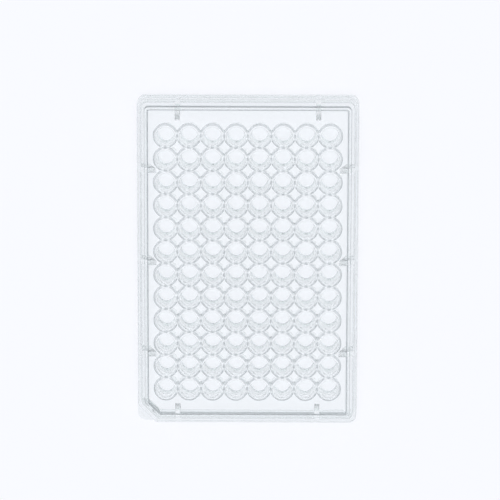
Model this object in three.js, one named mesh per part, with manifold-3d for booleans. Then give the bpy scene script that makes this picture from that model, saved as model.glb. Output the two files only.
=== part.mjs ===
// A clear 96-well plate, injection moulded in one piece from polystyrene.
//
// A flat deck carries eight rows of twelve cups that hang below it, each joined to its neighbours
// by webs. Around the deck stands a low rim, outside the rim lies a shoulder, and from the shoulder
// the skirt drops to a slightly wider foot that the plate rests on. The underside is open, and ten
// gussets stand between the deck and the skirt. Their lower ends sit on the rim of another such
// plate when plates are stacked. One corner is cut off above the foot, by well A1.
//
// Millimetres. The origin is the centre of the foot on the table, +X runs from column 1 to
// column 12, +Y towards row A, and +Z up out of the wells.
import * as THREE from "three";
import { mergeVertices } from "three/addons/utils/BufferGeometryUtils.js";
import Module from "manifold-3d";

// The grid of wells, and each well's cup.
const COLUMNS = 12;
const ROWS = 8;
const PITCH = 9; // from one well's centre to the next, both ways
const CUP_GAP = 0.16; // between the outsides of two neighbouring cups, under the deck
const CUP_WALL = 0.99; // at the mouth
const CUP_WALL_LOW = 0.7; // at the floor
const WELL_DEPTH = 10.7;
const WELL_TAPER = 0.25; // how much a well's radius shrinks from mouth to floor
const FLOOR_THICKNESS = 1.2;
const WEB_WIDTH = 1.1; // each web closes the narrow gap between two neighbouring cups
const WEB_STOP = 1.5; // how far a web ends above the cups' undersides
const WELL_SIDES = 12; // flat faces round the inside of a well
const CUP_SIDES = 8; // flat faces round the outside of a cup

// The foot, skirt, shoulder, rim and deck. The foot's two lengths follow from grid and margins.
const END_MARGIN = 14.38; // from the centres of column 1 to the end of the foot
const SIDE_MARGIN = 11.24; // from the centres of row A to the side of the foot
const PLATE_HEIGHT = 14.3;
const FOOT_HEIGHT = 6.1;
const FOOT_LEDGE = 0.45; // how far the foot stands out past the skirt
const FOOT_RADIUS = 3.18; // the foot's rounded corners
const SKIRT_WALL = 1.35;
const SHOULDER_WIDTH = 2.7; // from the rim's outer face to the skirt's outer face
const SHOULDER_DROP = 2.9; // from the top of the rim down to the shoulder
const RIM_WALL = 1.1;
const RIM_RADIUS = 1.7; // the rim's outer corners
const RIM_ABOVE_DECK = 0.4;
const DECK_THICKNESS = 1.3;
const CORNER_CUT = 6.8; // each leg of the cut corner, on the skirt's outer face
const LEAST_RADIUS = 0.3; // of an inner corner
const ARC_STEPS = 5; // straight steps in a rounded corner

// The gussets: a sloping edge runs from the deck down to the skirt.
const GUSSET_WIDTH = 1.85;
const END_GUSSET_REACH = 6.7; // inwards from the skirt, under the deck
const SIDE_GUSSET_REACH = 5.8;
const GUSSET_STOP = 1.2; // the lower end, above the table
const STACK_SEAT = 0.85; // how far the lower end reaches over the rim of a plate stacked below
const END_GUSSET_STEP = 3; // pitches from the middle of the plate, so between two rows
const SIDE_GUSSET_STEP = 4; // pitches from one to the next, so between two columns

// Levels above the table.
const deckTop = PLATE_HEIGHT - RIM_ABOVE_DECK;
const deckUnderside = deckTop - DECK_THICKNESS;
const shoulderTop = PLATE_HEIGHT - SHOULDER_DROP;
const shoulderUnderside = shoulderTop - DECK_THICKNESS;
const wellFloor = deckTop - WELL_DEPTH;
const cupBottom = wellFloor - FLOOR_THICKNESS;

// Half sizes of the foot, and the radii of a well and its cup.
const footHalfLength = ((COLUMNS - 1) * PITCH) / 2 + END_MARGIN;
const footHalfWidth = ((ROWS - 1) * PITCH) / 2 + SIDE_MARGIN;
const cupRadius = (PITCH - CUP_GAP) / 2;
const mouthRadius = cupRadius - CUP_WALL;
const floorRadius = mouthRadius - WELL_TAPER;
const cupBottomRadius = floorRadius + CUP_WALL_LOW;

// How far each wall's face lies inside the foot's outline.
const skirtInset = FOOT_LEDGE;
const skirtInnerInset = skirtInset + SKIRT_WALL;
const rimInset = skirtInset + SHOULDER_WIDTH;
const rimInnerInset = rimInset + RIM_WALL;

// How far a gusset's lower end stands in from the skirt's inner face, above the rim.
const gussetToe = rimInset + STACK_SEAT - skirtInnerInset;

const CLEAR = 1; // how far a cutting shape runs past the surface that it opens

const wasm = await Module();
wasm.setup();

// Turns a closed three.js geometry into a solid that can be joined and cut.
function solidFrom(geometry) {
  geometry.deleteAttribute("normal");
  geometry.deleteAttribute("uv");
  const merged = mergeVertices(geometry, 1e-5);
  const mesh = new wasm.Mesh({
    numProp: 3,
    vertProperties: new Float32Array(merged.attributes.position.array),
    triVerts: new Uint32Array(merged.index.array),
  });
  return new wasm.Manifold(mesh);
}

function joined(solids) {
  return solids.reduce((whole, solid) => whole.add(solid));
}

// The foot's outline moved inwards by inset: a rectangle with three rounded corners and, at the
// fourth (-X, +Y), either a rounded corner too or a straight cut at 45 degrees. The cut keeps the
// same distance between one outline and the next as the sides do.
function outline(inset, radius, isCut) {
  const x = footHalfLength - inset;
  const y = footHalfWidth - inset;
  const cut = CORNER_CUT - (inset - skirtInset) * (2 - Math.SQRT2);
  const shape = new THREE.Shape();
  shape.moveTo(-x + radius, -y);
  shape.lineTo(x - radius, -y);
  shape.absarc(x - radius, -y + radius, radius, -Math.PI / 2, 0, false);
  shape.lineTo(x, y - radius);
  shape.absarc(x - radius, y - radius, radius, 0, Math.PI / 2, false);
  if (isCut) {
    shape.lineTo(-x + cut, y);
    shape.lineTo(-x, y - cut);
  } else {
    shape.lineTo(-x + radius, y);
    shape.absarc(-x + radius, y - radius, radius, Math.PI / 2, Math.PI, false);
  }
  shape.lineTo(-x, -y + radius);
  shape.absarc(-x + radius, -y + radius, radius, Math.PI, (3 * Math.PI) / 2, false);
  return shape;
}

// The radius of an inner corner that lies parallel to an outer one, and never quite sharp.
function innerRadius(outerRadius, wall) {
  return Math.max(outerRadius - wall, LEAST_RADIUS);
}

// An outline carried straight up from one level to another.
function block(shape, low, high) {
  const geometry = new THREE.ExtrudeGeometry(shape, {
    depth: high - low,
    bevelEnabled: false,
    curveSegments: ARC_STEPS,
  });
  geometry.translate(0, 0, low);
  return solidFrom(geometry);
}

// An upright tapered shape around a well's centre. It runs on past its high level at the same
// slope, so that it passes through the surface there.
function taper([x, y], sides, lowRadius, highRadius, low, high) {
  const top = high + CLEAR;
  const topRadius = highRadius + ((highRadius - lowRadius) / (high - low)) * CLEAR;
  const geometry = new THREE.CylinderGeometry(topRadius, lowRadius, top - low, sides);
  geometry.rotateX(Math.PI / 2);
  geometry.translate(x, y, (low + top) / 2);
  return solidFrom(geometry);
}

// The centres of a grid of places one pitch apart, in the middle of the plate.
function grid(columns, rows) {
  const places = [];
  for (let column = 0; column < columns; column += 1) {
    for (let row = 0; row < rows; row += 1) {
      places.push([(column - (columns - 1) / 2) * PITCH, ((rows - 1) / 2 - row) * PITCH]);
    }
  }
  return places;
}

function cup(centre) {
  return taper(centre, CUP_SIDES, cupBottomRadius, cupRadius, cupBottom, deckUnderside);
}

function well(centre) {
  return taper(centre, WELL_SIDES, floorRadius, mouthRadius, wellFloor, deckTop);
}

// One long bar through each row of cups, and one through each column.
function webs() {
  const low = cupBottom + WEB_STOP;
  const high = deckUnderside + CLEAR;
  const bars = [];
  for (const [, y] of grid(1, ROWS)) {
    const row = new THREE.BoxGeometry((COLUMNS - 1) * PITCH, WEB_WIDTH, high - low);
    bars.push(solidFrom(row.translate(0, y, (low + high) / 2)));
  }
  for (const [x] of grid(COLUMNS, 1)) {
    const column = new THREE.BoxGeometry(WEB_WIDTH, (ROWS - 1) * PITCH, high - low);
    bars.push(solidFrom(column.translate(x, 0, (low + high) / 2)));
  }
  return joined(bars);
}

// A gusset that stands on the +X side of the plate, its side profile carried across its width.
function gusset(reach, wallFace) {
  const root = wallFace + SKIRT_WALL / 2;
  const profile = new THREE.Shape();
  profile.moveTo(root, GUSSET_STOP);
  profile.lineTo(root, deckUnderside + CLEAR);
  profile.lineTo(wallFace - reach, deckUnderside + CLEAR);
  profile.lineTo(wallFace - reach, deckUnderside);
  profile.lineTo(wallFace - gussetToe, GUSSET_STOP);
  const geometry = new THREE.ExtrudeGeometry(profile, { depth: GUSSET_WIDTH, bevelEnabled: false });
  geometry.rotateX(Math.PI / 2);
  geometry.translate(0, GUSSET_WIDTH / 2, 0);
  return solidFrom(geometry);
}

function gussets() {
  const end = gusset(END_GUSSET_REACH, footHalfLength - skirtInnerInset);
  const side = gusset(SIDE_GUSSET_REACH, footHalfWidth - skirtInnerInset);
  const all = [];
  for (const y of [-END_GUSSET_STEP * PITCH, END_GUSSET_STEP * PITCH]) {
    all.push(end.translate([0, y, 0]));
    all.push(end.rotate([0, 0, 180]).translate([0, y, 0]));
  }
  for (const x of [-SIDE_GUSSET_STEP * PITCH, 0, SIDE_GUSSET_STEP * PITCH]) {
    all.push(side.rotate([0, 0, 90]).translate([x, 0, 0]));
    all.push(side.rotate([0, 0, -90]).translate([x, 0, 0]));
  }
  return joined(all);
}

// The outer form, from the foot up to the rim.
function outside() {
  const skirtRadius = innerRadius(FOOT_RADIUS, FOOT_LEDGE);
  return joined([
    block(outline(0, FOOT_RADIUS, false), 0, FOOT_HEIGHT),
    block(outline(skirtInset, skirtRadius, true), 0, shoulderTop),
    block(outline(rimInset, RIM_RADIUS, true), 0, PLATE_HEIGHT),
  ]);
}

// What is cut out from below. Cups, webs and gussets are left standing in it.
function underside() {
  const skirtInnerRadius = innerRadius(innerRadius(FOOT_RADIUS, FOOT_LEDGE), SKIRT_WALL);
  const rimInnerRadius = innerRadius(RIM_RADIUS, RIM_WALL);
  const hollow = joined([
    block(outline(skirtInnerInset, skirtInnerRadius, true), -CLEAR, shoulderUnderside),
    block(outline(rimInnerInset, rimInnerRadius, true), -CLEAR, deckUnderside),
  ]);
  return hollow.subtract(joined(grid(COLUMNS, ROWS).map(cup))).subtract(webs()).subtract(gussets());
}

// What is cut out from above, inside the rim.
function recess() {
  const shape = outline(rimInnerInset, innerRadius(RIM_RADIUS, RIM_WALL), true);
  return block(shape, deckTop, PLATE_HEIGHT + CLEAR);
}

function wellPlate() {
  const wells = joined(grid(COLUMNS, ROWS).map(well));
  return outside().subtract(underside()).subtract(recess()).subtract(wells);
}

function geometryFrom(solid) {
  const mesh = solid.getMesh();
  const geometry = new THREE.BufferGeometry();
  geometry.setAttribute("position", new THREE.BufferAttribute(mesh.vertProperties, mesh.numProp));
  geometry.setIndex(new THREE.BufferAttribute(mesh.triVerts, 1));
  return geometry;
}

const clearPolystyrene = new THREE.MeshStandardMaterial({
  color: 0xe9f0f2,
  roughness: 0.05,
  metalness: 0,
  transparent: true,
  opacity: 0.35,
});

const plate = new THREE.Mesh(geometryFrom(wellPlate()), clearPolystyrene);
plate.name = "well_plate";

const group = new THREE.Group();
group.add(plate);

export default group;
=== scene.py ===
import math

import bpy
import numpy as np
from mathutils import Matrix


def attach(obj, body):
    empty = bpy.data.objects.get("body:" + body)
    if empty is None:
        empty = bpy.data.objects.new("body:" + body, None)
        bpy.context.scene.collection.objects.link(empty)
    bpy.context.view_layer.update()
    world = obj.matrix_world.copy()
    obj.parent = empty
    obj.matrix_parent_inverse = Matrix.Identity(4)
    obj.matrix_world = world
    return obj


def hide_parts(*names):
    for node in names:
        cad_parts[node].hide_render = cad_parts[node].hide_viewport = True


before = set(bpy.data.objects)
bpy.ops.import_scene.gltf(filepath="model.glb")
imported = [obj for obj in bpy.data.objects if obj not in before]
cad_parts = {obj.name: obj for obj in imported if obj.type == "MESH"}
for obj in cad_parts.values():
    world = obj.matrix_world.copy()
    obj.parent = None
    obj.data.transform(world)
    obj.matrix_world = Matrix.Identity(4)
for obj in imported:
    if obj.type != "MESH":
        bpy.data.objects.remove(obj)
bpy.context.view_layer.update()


# ---- Wells ---------------------------------------------------------------------------------------
# Ninety-six round wells, moulded with the deck in one piece of polystyrene. Each has a flat floor,
# a slight draft so that it leaves the mould's core, and a low raised lip round its mouth.
COLUMNS, ROWS, PITCH = 12, 8, 9.0
LIP_TOP = 13.9
DECK_TOP = 13.5
WELL_FLOOR = 3.2
FLOOR_RADIUS, MOUTH_RADIUS = 3.18, 3.43
FLOOR_CORNER = 0.7  # the rounded corner between a well's wall and its floor
MOUTH_EDGE = 0.12
LIP_RADIUS, LIP_FOOT_RADIUS = 4.12, 4.42
LIP_EDGE = 0.12
EDGE_STEPS = 2  # in most rounded edges
MATT_AND_PAINTED_SHADE_WIDTH = 0.45  # a lip's foot is rough and darkened by painted shade, fading out over this far beyond it

# Past an outer well the deck ends at a round hem. The diagonal points of two such wells' hems are
# a gusset's width apart, and the hems meet at CUSP.
GUSSET_WIDTH = 1.85
HEM_RADIUS = (PITCH - GUSSET_WIDTH) / 2 * math.sqrt(2)
CUSP = math.degrees(math.acos(PITCH / 2 / HEM_RADIUS))

# Directions round a well, in degrees from the nearest pitch line, as far as the diagonal. The
# second and third are the same, because a web's side stands there.
WEB_EDGE = 7.15
BESIDE_WEB, BEFORE_CUSP = 11.5, 18.5
DIAGONAL = 45.0
octant = [0.0, WEB_EDGE, WEB_EDGE, BESIDE_WEB, BEFORE_CUSP, CUSP]
in_web = [True, True, False, False, False, False]
# How rough the surface is there and how much painted shade darkens it, from 0 to 1. It is clear beside a
# web.
octant_matt_and_painted_shade = [0.8, 0.7, 0.7, 0.0, 0.25, 0.8]
OPEN_MATT_AND_PAINTED_SHADE = 0.65  # on the diagonal, and on a side that has no neighbour

quadrant = np.radians(octant + [DIAGONAL] + [90 - a for a in octant[:0:-1]])
quarter = np.repeat(np.arange(4), len(quadrant))
local_angle = np.tile(quadrant, 4)
angle = quarter * math.pi / 2 + local_angle
web_side = np.tile(in_web + [False] + in_web[:0:-1], 4)
ring_matt_and_painted_shade = np.tile(octant_matt_and_painted_shade + [OPEN_MATT_AND_PAINTED_SHADE] + octant_matt_and_painted_shade[:0:-1], 4)

column, row = (grid.ravel() for grid in np.meshgrid(np.arange(COLUMNS), np.arange(ROWS), indexing="ij"))
centres = np.stack([column - (COLUMNS - 1) / 2, row - (ROWS - 1) / 2], axis=1) * PITCH
# Whether each well has a neighbour towards +X, +Y, -X and -Y, and then in each direction round it.
beside = np.stack([column < COLUMNS - 1, row < ROWS - 1, column > 0, row > 0], axis=1)
neighbour = np.where(local_angle < math.pi / 4, beside[:, quarter], beside[:, (quarter + 1) % 4])


def cell_reach():
    """How far each well's share of the deck reaches in each direction. It ends halfway to the
    neighbour on each side, at half the pitch over the cosine or sine of the direction, and where
    a side has no neighbour it ends on a circle of HEM_RADIUS."""
    near, far = beside[:, quarter], beside[:, (quarter + 1) % 4]
    with np.errstate(divide="ignore"):
        to_near = np.where(near, PITCH / 2 / np.cos(local_angle), np.inf)
        to_far = np.where(far, PITCH / 2 / np.sin(local_angle), np.inf)
    to_hem = np.where(near & far, np.inf, HEM_RADIUS)
    return np.minimum(np.minimum(to_near, to_far), to_hem)


def turned(stations):
    """Points round every well: each station is a radius, a level and how rough the surface is
    there and how much painted shade darkens its colour, from 0 to 1. Any of them may differ from
    direction to direction. A point is the well's centre plus the radius times the direction's
    cosine and sine."""
    shape = (len(centres), len(angle))
    radius, level, matt = (
        np.stack([np.broadcast_to(station[k], shape) for station in stations], axis=2) for k in range(3)
    )
    x = centres[:, 0, None, None] + radius * np.cos(angle)[None, :, None]
    y = centres[:, 1, None, None] + radius * np.sin(angle)[None, :, None]
    return np.stack([x, y, level, matt], axis=3)


def bend(radius, level, size, start, end, steps, matt=0.0):
    """A rounded edge: points on a circle of the given size about (radius, level), from the start
    angle to the end angle, in degrees anticlockwise from outwards. How rough they are and how much
    painted shade darkens them is one number, or one for each point."""
    turn = np.radians(np.linspace(start, end, steps + 1))
    radii = radius + size * np.cos(turn)
    levels = level + size * np.sin(turn)
    return list(zip(radii, levels, np.broadcast_to(matt, turn.shape)))


reach = cell_reach()
# At the lips' flanks: roughness and painted shade from the ring's values, or the open value where no
# neighbour stands.
lip_matt_and_painted_shade = np.where(neighbour, ring_matt_and_painted_shade, OPEN_MATT_AND_PAINTED_SHADE)
beyond_lip = np.minimum(LIP_FOOT_RADIUS + MATT_AND_PAINTED_SHADE_WIDTH, reach)
fading = lip_matt_and_painted_shade * (1 - (beyond_lip - LIP_FOOT_RADIUS) / MATT_AND_PAINTED_SHADE_WIDTH)
top = turned(
    [(0.0, WELL_FLOOR, 0.0)]
    + bend(FLOOR_RADIUS - FLOOR_CORNER, WELL_FLOOR + FLOOR_CORNER, FLOOR_CORNER, -90, 0, EDGE_STEPS)
    + bend(MOUTH_RADIUS + MOUTH_EDGE, LIP_TOP - MOUTH_EDGE, MOUTH_EDGE, 180, 90, EDGE_STEPS)
    + [(LIP_RADIUS - LIP_EDGE, LIP_TOP, 0.0), (LIP_RADIUS + LIP_EDGE / 2, LIP_TOP - LIP_EDGE, lip_matt_and_painted_shade)]
    + [(LIP_FOOT_RADIUS, DECK_TOP, lip_matt_and_painted_shade), (beyond_lip, DECK_TOP, fading), (reach, DECK_TOP, fading)]
)

# ---- Cups and webs -------------------------------------------------------------------------------
# The outsides of the wells, seen through the deck. A fillet strengthens each cup's root, and a
# thin web joins it to each neighbour. Both were cut into the mould with the cups.
DECK_UNDERSIDE = 12.4
CUP_BOTTOM = 2.0
CUP_ROOT_RADIUS, CUP_BOTTOM_RADIUS = 4.42, 3.88
CUP_EDGE = 0.7  # the rounded edge of a cup's bottom
ROOT_FILLET = 0.5
ROOT_STEPS = 3
WEB_BOTTOM = 3.5
WEB_MATT_AND_PAINTED_SHADE = 0.5  # how rough a web's lower edge is and how much painted shade darkens it


def cup_radius(level):
    """The cup narrows evenly from its root to its bottom."""
    share = (level - CUP_BOTTOM) / (DECK_UNDERSIDE - CUP_BOTTOM)
    return CUP_BOTTOM_RADIUS + share * (CUP_ROOT_RADIUS - CUP_BOTTOM_RADIUS)


def underside_of_cells():
    """From the border of each well's share of the deck in to the middle of its cup's bottom: along
    the deck, down the root's fillet, which is cut short where the neighbour's begins, down the
    wall and round the bottom edge. In a web's directions the path runs along the web's lower edge
    instead, from halfway to the neighbour straight in to the wall. The fillet is as rough and as
    darkened by painted shade as the lip above it, but clear and polished on the diagonals."""
    wall = cup_radius(DECK_UNDERSIDE - ROOT_FILLET)
    width = np.minimum(reach - wall, ROOT_FILLET)
    last = np.arccos(1 - width / ROOT_FILLET)
    fillet_matt_and_painted_shade = np.where(np.isclose(local_angle, math.radians(DIAGONAL)), 0.0, lip_matt_and_painted_shade)
    path = [(reach, DECK_UNDERSIDE - ROOT_FILLET * (1 - np.sin(last)), 0.0)]
    for step in range(ROOT_STEPS, -1, -1):
        turn = last * step / ROOT_STEPS
        radius = wall + ROOT_FILLET * (1 - np.cos(turn))
        level = DECK_UNDERSIDE - ROOT_FILLET * (1 - np.sin(turn))
        path.append((radius, level, fillet_matt_and_painted_shade if 0 < step < ROOT_STEPS else 0.0))
    path.append((cup_radius(WEB_BOTTOM), WEB_BOTTOM, 0.0))
    web = web_side & neighbour
    for step, (radius, level, matt) in enumerate(path):
        share = step / (len(path) - 1)
        along_web = reach + (cup_radius(WEB_BOTTOM) - reach) * share
        path[step] = (
            np.where(web, along_web, radius),
            np.where(web, WEB_BOTTOM, level),
            np.where(web, WEB_MATT_AND_PAINTED_SHADE, matt),
        )
    edge_level = CUP_BOTTOM + CUP_EDGE
    path += bend(cup_radius(edge_level) - CUP_EDGE, edge_level, CUP_EDGE, 0, -90, EDGE_STEPS)
    path.append((0.0, CUP_BOTTOM, 0.0))
    return path


bottom = turned(underside_of_cells())

# ---- Rim, shoulder, skirt, foot and gussets ------------------------------------------------------
# The frame round the wells, one wall thick all the way: a rim, a shoulder, a skirt with one corner
# cut off by well A1, and the foot that stands on the table. Ten gussets stiffen it from below.
HALF_LENGTH, HALF_WIDTH = 63.88, 42.74
RIM_TOP, SHOULDER_TOP, FOOT_TOP = 14.3, 11.4, 6.1
SHOULDER_UNDERSIDE = 10.1
RIM_INNER, RIM_OUTER, SKIRT_INNER, SKIRT_OUTER = 4.25, 3.15, 1.8, 0.45  # inwards from the foot
RIM_EDGE, RIM_FILLET = 0.2, 0.3
DECK_MARGIN = 0.35  # the rim's foot is rough and darkened by painted shade, fading to clear this far onto the deck
SHOULDER_EDGE, SHOULDER_STEPS = 0.4, 3
FOOT_EDGE, SMALL_EDGE = 0.2, 0.15
DECK_FILLET = 0.25
FRAME_MATT_AND_PAINTED_SHADE = 0.8  # how rough the frame's corners are and how much painted shade darkens them
FAINT = 0.1  # the share of that where they are nearly clear
FOOT_CORNER, RIM_CORNER = 3.18, 1.7  # radii of the foot's and the rim's corners, on their outsides
CORNER_GROWTH = 0.4  # of a corner's radius, for each millimetre outwards from the rim to the skirt
LEAST_CORNER = 0.5
CORNER_STEPS = 3  # in each half of a corner
A1_CORNER = 1  # the one at -X and +Y, where side 1 ends
CORNER_CUT = 6.8
CUT_EDGE = 0.6  # how much the cut corner's two bends are rounded
CUT_SHARE = 2 - math.sqrt(2)  # the legs of a 45-degree cut that touches a round corner of radius 1
END_GUSSET_LINE, SIDE_GUSSET_LINE = 55.38, 35.14  # inner ends, from the middle of the plate
END_GUSSET_MATT_AND_PAINTED_SHADE, SIDE_GUSSET_MATT_AND_PAINTED_SHADE = 1.0, 0.65  # how rough their slopes are at the inner ends and how much painted shade darkens them
GUSSET_TOE = 2.2  # how far a gusset's lower end reaches in from the skirt
GUSSET_BOTTOM = 1.2  # the level of its lower end

# Sides 0 to 3 stand towards +X, +Y, -X and -Y.
outward = np.array([[1.0, 0.0], [0.0, 1.0], [-1.0, 0.0], [0.0, -1.0]])
half_size = np.tile([HALF_LENGTH, HALF_WIDTH], 2)
gusset_line = np.tile([END_GUSSET_LINE, SIDE_GUSSET_LINE], 2)
gusset_matt_and_painted_shade = np.tile([END_GUSSET_MATT_AND_PAINTED_SHADE, SIDE_GUSSET_MATT_AND_PAINTED_SHADE], 2)
gusset_gaps = [(1, 7), (2, 6, 10), (1, 7), (2, 6, 10)]  # after how many wells along each side
wells_along = [ROWS, COLUMNS, ROWS, COLUMNS]
last_well = (np.array(wells_along) - 1) / 2 * PITCH  # its centre, from the middle of the side

# Directions from an outer well, in degrees from straight outwards. The diagonal comes twice,
# because a gusset's side stands there.
half_turn = [0.0, WEB_EDGE, BESIDE_WEB, BEFORE_CUSP, CUSP, DIAGONAL, DIAGONAL, 90 - CUSP]
half_in_gusset = [False] * 6 + [True] * 2
fan = np.array([-a for a in half_turn[:0:-1]] + half_turn)
in_gusset_after = np.array([False] * (len(half_turn) - 1) + half_in_gusset)
in_gusset_before = in_gusset_after[::-1]
corner_turn = np.radians(np.linspace(0, 45, CORNER_STEPS + 1))


def border_columns():
    """Places along each side where the frame's outline has a point: the well's centre plus
    HEM_RADIUS times the sine of the direction, and the hem's distance outwards there. Also
    whether a gusset covers that place. A side ends at its two corner wells' diagonals."""
    columns = []
    for side, count in enumerate(wells_along):
        centre = (np.arange(count) - (count - 1) / 2) * PITCH
        along = centre[:, None] + HEM_RADIUS * np.sin(np.radians(fan))
        out = last_well[side - 1] + HEM_RADIUS * np.cos(np.radians(fan))
        well = np.arange(count)[:, None]
        covered = np.isin(well + 1, gusset_gaps[side]) & in_gusset_after
        covered |= np.isin(well, gusset_gaps[side]) & in_gusset_before
        keep = np.ones(along.shape, bool)
        keep[0, : np.flatnonzero(fan == -DIAGONAL)[-1]] = False
        keep[-1, np.flatnonzero(fan == DIAGONAL)[0] + 1 :] = False
        columns.append((along[keep], np.broadcast_to(out, along.shape)[keep], covered[keep]))
    return columns


sides = border_columns()


def corner_radius(inset):
    """Radius of the frame's corners at this inset from the foot. It shrinks by the inset from the
    foot's own corner through the skirt, and again from the rim's outside inwards. Between skirt
    and rim it grows evenly from the rim's outside outwards."""
    if inset < SKIRT_INNER:
        radius = FOOT_CORNER - inset
    elif inset < RIM_OUTER:
        radius = RIM_CORNER + (RIM_OUTER - inset) * CORNER_GROWTH
    else:
        radius = RIM_CORNER - (inset - RIM_OUTER)
    return max(radius, LEAST_CORNER)


def outline(inset, is_cut):
    """The foot's outline moved inwards by inset. A corner is two 45-degree bends with a straight
    cut between them, and the cut has no length on a plain round corner. A place along a side that
    lies past the first bend moves back to it."""
    pieces = []
    radii = [corner_radius(inset)] * 4
    legs = [CUT_SHARE * radius for radius in radii]
    if is_cut:
        radii[A1_CORNER] = min(radii[A1_CORNER], CUT_EDGE)
        legs[A1_CORNER] = CORNER_CUT - (inset - SKIRT_OUTER) * CUT_SHARE
    backs = [leg + radius * math.tan(math.pi / 8) for leg, radius in zip(legs, radii)]
    for side, (along, _, _) in enumerate(sides):
        out, onward = outward[side], outward[(side + 1) % 4]
        near, far = half_size[side] - inset, half_size[(side + 1) % 4] - inset
        radius, back = radii[side], backs[side]
        along = np.clip(along, backs[side - 1] - far, far - back)
        pieces.append(along[:, None] * onward + near * out)
        first_bend = (near - radius, far - back, corner_turn)
        second_bend = (near - back, far - radius, corner_turn + math.pi / 4)
        for centre_out, centre_onward, turn in (first_bend, second_bend):
            pieces.append(
                (centre_out + radius * np.cos(turn))[:, None] * out
                + (centre_onward + radius * np.sin(turn))[:, None] * onward
            )
    return np.concatenate(pieces)


def hem(distances=None):
    """The line where the wells' deck meets the frame. Given a distance for each side, the line
    comes no nearer to the plate's middle than that, between the corner wells' centres. At a corner
    all its points are the corner well's diagonal point."""
    pieces = []
    diagonal = last_well + HEM_RADIUS / math.sqrt(2)
    for side, (along, out, _) in enumerate(sides):
        if distances is not None:
            between_wells = np.abs(along) <= last_well[side]
            out = np.where(between_wells, np.maximum(out, distances[side]), out)
        pieces.append(along[:, None] * outward[(side + 1) % 4] + out[:, None] * outward[side])
        corner = diagonal[side - 1] * outward[side] + diagonal[side] * outward[(side + 1) % 4]
        pieces.append(np.tile(corner, (2 * len(corner_turn), 1)))
    return np.concatenate(pieces)


def frame_path():
    """The frame's surface as points with how rough they are and how much painted shade darkens
    them: outlines with their levels, from the hem on the deck, up and over the rim, across the
    shoulder, down the skirt, round the foot and back under to the hem below the deck. Each rounded
    edge is a few points on a circle, and the last numbers of its bend are how rough and shaded
    they are, as shares of the frame's full value. Within a gusset's width the path below leaves the
    walls for the gusset's sloping edge: a straight line from its inner end to its toe, less rough
    and less shaded by the square of the share of the way there."""
    above = [(-RIM_INNER - DECK_MARGIN, DECK_TOP, 0.0)]
    above += bend(-RIM_INNER - RIM_FILLET, DECK_TOP + RIM_FILLET, RIM_FILLET, -90, 0, EDGE_STEPS, 1.0)
    above += bend(-RIM_INNER + RIM_EDGE, RIM_TOP - RIM_EDGE, RIM_EDGE, 180, 90, EDGE_STEPS, (1, 0.6, 0))
    above += bend(-RIM_OUTER - RIM_EDGE, RIM_TOP - RIM_EDGE, RIM_EDGE, 90, 0, EDGE_STEPS, (0, 1, 1))
    above += bend(
        -RIM_OUTER + RIM_FILLET, SHOULDER_TOP + RIM_FILLET, RIM_FILLET, 180, 270, EDGE_STEPS, (1, 1, FAINT)
    )
    above += bend(
        -SKIRT_OUTER - SHOULDER_EDGE, SHOULDER_TOP - SHOULDER_EDGE, SHOULDER_EDGE,
        90, 0, SHOULDER_STEPS, (FAINT, 0.4, 0.4, FAINT),
    )
    above += bend(-SKIRT_OUTER + SMALL_EDGE, FOOT_TOP + SMALL_EDGE, SMALL_EDGE, 180, 270, 1, FAINT)
    foot = bend(-SMALL_EDGE, FOOT_TOP - SMALL_EDGE, SMALL_EDGE, 90, 0, 1, FAINT)
    foot += bend(-FOOT_EDGE, FOOT_EDGE, FOOT_EDGE, 0, -90, EDGE_STEPS, FAINT)
    inside = bend(-SKIRT_INNER + SMALL_EDGE, SMALL_EDGE, SMALL_EDGE, 270, 180, 1, FAINT)
    inside += [(-SKIRT_INNER, GUSSET_BOTTOM, FAINT)]
    below = bend(
        -SKIRT_INNER - RIM_FILLET, SHOULDER_UNDERSIDE - RIM_FILLET, RIM_FILLET,
        0, 90, EDGE_STEPS, (FAINT, 1, 0),
    )
    below += bend(-RIM_INNER + RIM_EDGE, SHOULDER_UNDERSIDE + RIM_EDGE, RIM_EDGE, 270, 180, 1, (0, 1))
    below += bend(
        -RIM_INNER - DECK_FILLET, DECK_UNDERSIDE - DECK_FILLET, DECK_FILLET, 0, 90, EDGE_STEPS, (1, 1, 0)
    )

    path = [(hem(), DECK_TOP, 0.0)]
    for part in (above, foot, inside, below):
        path += [(outline(-out, part is not foot), level, matt * FRAME_MATT_AND_PAINTED_SHADE) for out, level, matt in part]
    first, last = len(path) - len(below), len(path)
    inner_ends = hem(gusset_line)
    path += [(inner_ends, DECK_UNDERSIDE, 0.0), (hem(), DECK_UNDERSIDE, 0.0)]
    points = np.stack([np.c_[xy, np.tile((level, matt), (len(xy), 1))] for xy, level, matt in path], axis=1)

    in_side = [len(along) + 2 * len(corner_turn) for along, _, _ in sides]
    covered = np.concatenate([np.r_[c, np.zeros(2 * len(corner_turn), bool)] for _, _, c in sides])
    normal = np.repeat(outward, in_side, axis=0)
    length = np.repeat(half_size - SKIRT_INNER - GUSSET_TOE - gusset_line, in_side)
    share = 1 - np.arange(last - first) / (last - first)
    place = inner_ends[:, None] + normal[:, None] * (length[:, None] * share)[:, :, None]
    level = DECK_UNDERSIDE + (GUSSET_BOTTOM - DECK_UNDERSIDE) * share
    matt = np.repeat(gusset_matt_and_painted_shade, in_side)[:, None] * (1 - share**2)
    slope = np.dstack([place, np.broadcast_to(level, matt.shape), matt])
    points[covered, first:last] = slope[covered]
    return points


border = frame_path()[None]


# ---- The moulding --------------------------------------------------------------------------------
# All the surfaces above are one closed skin of clear polystyrene, injection moulded in a polished
# steel mould. It is nearly colourless, and its refractive index of 1.59 draws its lines; painted
# shade, a grey-teal mixed into its colour at the lips, fillets, webs, gussets and the frame's
# corners, darkens them further.
WELD_GRID = 1e4  # to the millimetre: points closer than a tenth of a micrometre are one
SHARP = 50  # degrees: edges that turn more than this aren't smoothed over


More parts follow.
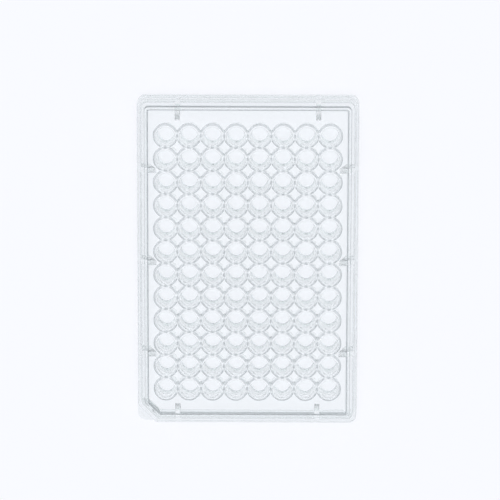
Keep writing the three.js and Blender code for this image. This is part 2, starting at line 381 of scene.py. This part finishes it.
def skin(points):
    """Two triangles between every two neighbouring directions and stations. Stations run outwards
    on top and inwards below, and directions run anticlockwise, so that all faces look outwards."""
    groups, turns, stations = points.shape[:3]
    here = np.arange(groups * turns * stations).reshape(groups, turns, stations)
    beyond = np.roll(here, -1, axis=1)
    first, second = here[:, :, :-1].ravel(), here[:, :, 1:].ravel()
    third, fourth = beyond[:, :, 1:].ravel(), beyond[:, :, :-1].ravel()
    triangles = np.concatenate([np.c_[first, second, third], np.c_[first, third, fourth]])
    return points.reshape(-1, points.shape[-1]), triangles


def welded(skins):
    """All skins as one: the points in metres, how rough each is and how much painted shade darkens
    it, and the triangles. Points that round to the same place on the weld's grid become one point,
    and triangles that lose a corner to that are left out."""
    points, faces, start = [], [], 0
    for vertices, triangles in skins:
        points.append(vertices)
        faces.append(triangles + start)
        start += len(vertices)
    points, faces = np.concatenate(points), np.concatenate(faces)
    keys = np.round(points[:, :3] * WELD_GRID).astype(np.int64)
    _, kept, place = np.unique(keys, axis=0, return_index=True, return_inverse=True)
    faces = place.reshape(-1)[faces]
    whole = (faces[:, 0] != faces[:, 1]) & (faces[:, 1] != faces[:, 2]) & (faces[:, 2] != faces[:, 0])
    return points[kept, :3] / 1000, points[kept, 3], faces[whole]


def mesh_from(name, vertices, faces):
    """A mesh of these triangles, shaded smooth except across its sharp edges. Each triangle is
    three corners in a row, so the nth starts at three times n."""
    mesh = bpy.data.meshes.new(name)
    mesh.vertices.add(len(vertices))
    mesh.vertices.foreach_set("co", vertices.astype(np.float32).ravel())
    mesh.loops.add(faces.size)
    mesh.loops.foreach_set("vertex_index", faces.astype(np.int32).ravel())
    mesh.polygons.add(len(faces))
    mesh.polygons.foreach_set("loop_start", np.arange(0, faces.size, 3, dtype=np.int32))
    mesh.update(calc_edges=True)
    mesh.polygons.foreach_set("use_smooth", np.ones(len(faces), bool))
    mesh.set_sharp_from_angle(angle=math.radians(SHARP))
    return mesh


vertices, matt, faces = welded([skin(top), skin(border), skin(bottom)])
plate = bpy.data.objects.new("clear_plate", mesh_from("clear_plate", vertices, faces))
# Each point's value sets its roughness and how much painted shade darkens its colour.
matt_and_painted_shade_places = plate.data.attributes.new("matt", "FLOAT", "POINT")
matt_and_painted_shade_places.data.foreach_set("value", matt.astype(np.float32))
bpy.context.scene.collection.objects.link(plate)


def linear(code):
    """An sRGB hex colour as linear red, green, blue and alpha, by the sRGB curve: a straight line
    near black and a power of 2.4 above it."""
    parts = [int(code[k : k + 2], 16) / 255 for k in (1, 3, 5)]
    return (*(p / 12.92 if p <= 0.04045 else ((p + 0.055) / 1.055) ** 2.4 for p in parts), 1.0)


def add(tree, kind, settings=(), **links):
    """A node of this kind, with its input values by name or number. Each link is a socket that
    feeds the input of that name, with _ for a space, or of that number after a _."""
    node = tree.nodes.new(kind)
    for key, value in dict(settings).items():
        node.inputs[key].default_value = value
    for key, socket in links.items():
        number_or_name = int(key[1:]) if key[1:].isdigit() else key.replace("_", " ")
        tree.links.new(socket, node.inputs[number_or_name])
    return node


clear_polystyrene = bpy.data.materials.new("clear polystyrene, polished mould")
clear_polystyrene.use_nodes = True
plastic = clear_polystyrene.node_tree
plastic.nodes.clear()
glassy = add(plastic, "ShaderNodeBsdfPrincipled", {"IOR": 1.59, "Transmission Weight": 1.0})
# The lips' flanks, the fillets, the webs' lower edges, the gussets and the frame's corners are
# rough, up to a roughness of 0.46 where the value is 1. Their colour is painted darker there too,
# towards a grey-teal: painted shade that stands in for the dark lines along the plastic's edges.
matt_and_painted_shade = add(plastic, "ShaderNodeAttribute")
matt_and_painted_shade.attribute_name = "matt"
haze = add(plastic, "ShaderNodeMapRange", {"To Max": 0.46}, Value=matt_and_painted_shade.outputs["Fac"])
plastic.links.new(haze.outputs[0], glassy.inputs["Roughness"])
# Painted shade: the colour goes from the plastic's near white to a dark grey-teal as that value rises.
painted_shade = add(plastic, "ShaderNodeMix", {6: linear("#fbfdfd"), 7: linear("#a0a7aa")}, _0=matt_and_painted_shade.outputs["Fac"])
painted_shade.data_type = "RGBA"
plastic.links.new(painted_shade.outputs[2], glassy.inputs["Base Color"])
# Lamplight goes on through the plastic to the table, less what each face reflects.
passed = add(plastic, "ShaderNodeBsdfTransparent", {"Color": linear("#fdfdfd")})
is_shadow = add(plastic, "ShaderNodeLightPath").outputs["Is Shadow Ray"]
surface = add(plastic, "ShaderNodeMixShader", _0=is_shadow, _1=glassy.outputs[0], _2=passed.outputs[0])
add(plastic, "ShaderNodeOutputMaterial", Surface=surface.outputs[0])
plate.data.materials.append(clear_polystyrene)
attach(plate, "root")
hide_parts("well_plate")

# ---- Table, light and camera ---------------------------------------------------------------------
# A matt white table that goes on past everything in view. The foot never touches it all over, so
# a hair's breadth of air is left between them.
TABLE_SIZE, GAP = 6.0, 0.00005
square = np.array([[-1, -1, 0], [1, -1, 0], [1, 1, 0], [-1, 1, 0]])
table = bpy.data.objects.new("table", bpy.data.meshes.new("table"))
table.data.from_pydata((square * TABLE_SIZE / 2 - [0, 0, GAP]).tolist(), [], [(0, 1, 2, 3)])
bpy.context.scene.collection.objects.link(table)
matt_white = bpy.data.materials.new("matt white laminate")
matt_white.use_nodes = True
laminate = matt_white.node_tree
laminate.nodes.clear()
paint = add(laminate, "ShaderNodeBsdfDiffuse", {"Color": linear("#f8f9fe")})
add(laminate, "ShaderNodeOutputMaterial", Surface=paint.outputs[0])
table.data.materials.append(matt_white)

# Soft light from overhead, as from a wide studio lamp, and the same all over the table. Its angle
# is how wide it looks from the table.
lamp = bpy.data.objects.new("soft lamp", bpy.data.lights.new("soft lamp", "SUN"))
lamp.data.angle = math.radians(41)
lamp.data.energy = 2.98
lamp.visible_glossy = lamp.visible_transmission = False
bpy.context.scene.collection.objects.link(lamp)

# The room is grey where the plastic mirrors or bends it into view, which is what the plate's edges
# pick up. It lights the table only dimly: light that the table scatters has a diffuse depth of 1 or
# more. Past the table it is as pale as the table.
world = bpy.data.worlds.new("room")
bpy.context.scene.world = world
world.use_nodes = True
room = world.node_tree
room.nodes.clear()
way = add(room, "ShaderNodeLightPath").outputs
dim = add(room, "ShaderNodeBackground", {"Color": linear("#46494a")})
grey = add(room, "ShaderNodeBackground", {"Color": linear("#e5ecef")})
pale = add(room, "ShaderNodeBackground", {"Color": linear("#f9fafe")})
indoors = add(room, "ShaderNodeMixShader", _0=way["Diffuse Depth"], _1=grey.outputs[0], _2=dim.outputs[0])
seen = add(room, "ShaderNodeMixShader", _0=way["Is Camera Ray"], _1=indoors.outputs[0], _2=pale.outputs[0])
add(room, "ShaderNodeOutputWorld", Surface=seen.outputs[0])

# Light crosses many clear walls on its way, so paths are followed further than usual.
cycles = bpy.context.scene.cycles
cycles.max_bounces = cycles.transmission_bounces = cycles.glossy_bounces = 24
cycles.transparent_max_bounces = 64
bpy.context.scene.view_settings.view_transform = "Standard"

# The camera looks steeply down through a long lens, with the plate's length upright in view.
camera = bpy.data.objects.new("camera", bpy.data.cameras.new("camera"))
camera.data.sensor_width = 36
camera.data.lens = 213.2
camera.data.clip_end = 20
camera.location = (0.218381, -0.009745, 1.130961)
camera.rotation_euler = [math.radians(a) for a in (-10.7934, 0.4780, -89.8672)]
bpy.context.scene.collection.objects.link(camera)
bpy.context.scene.camera = camera
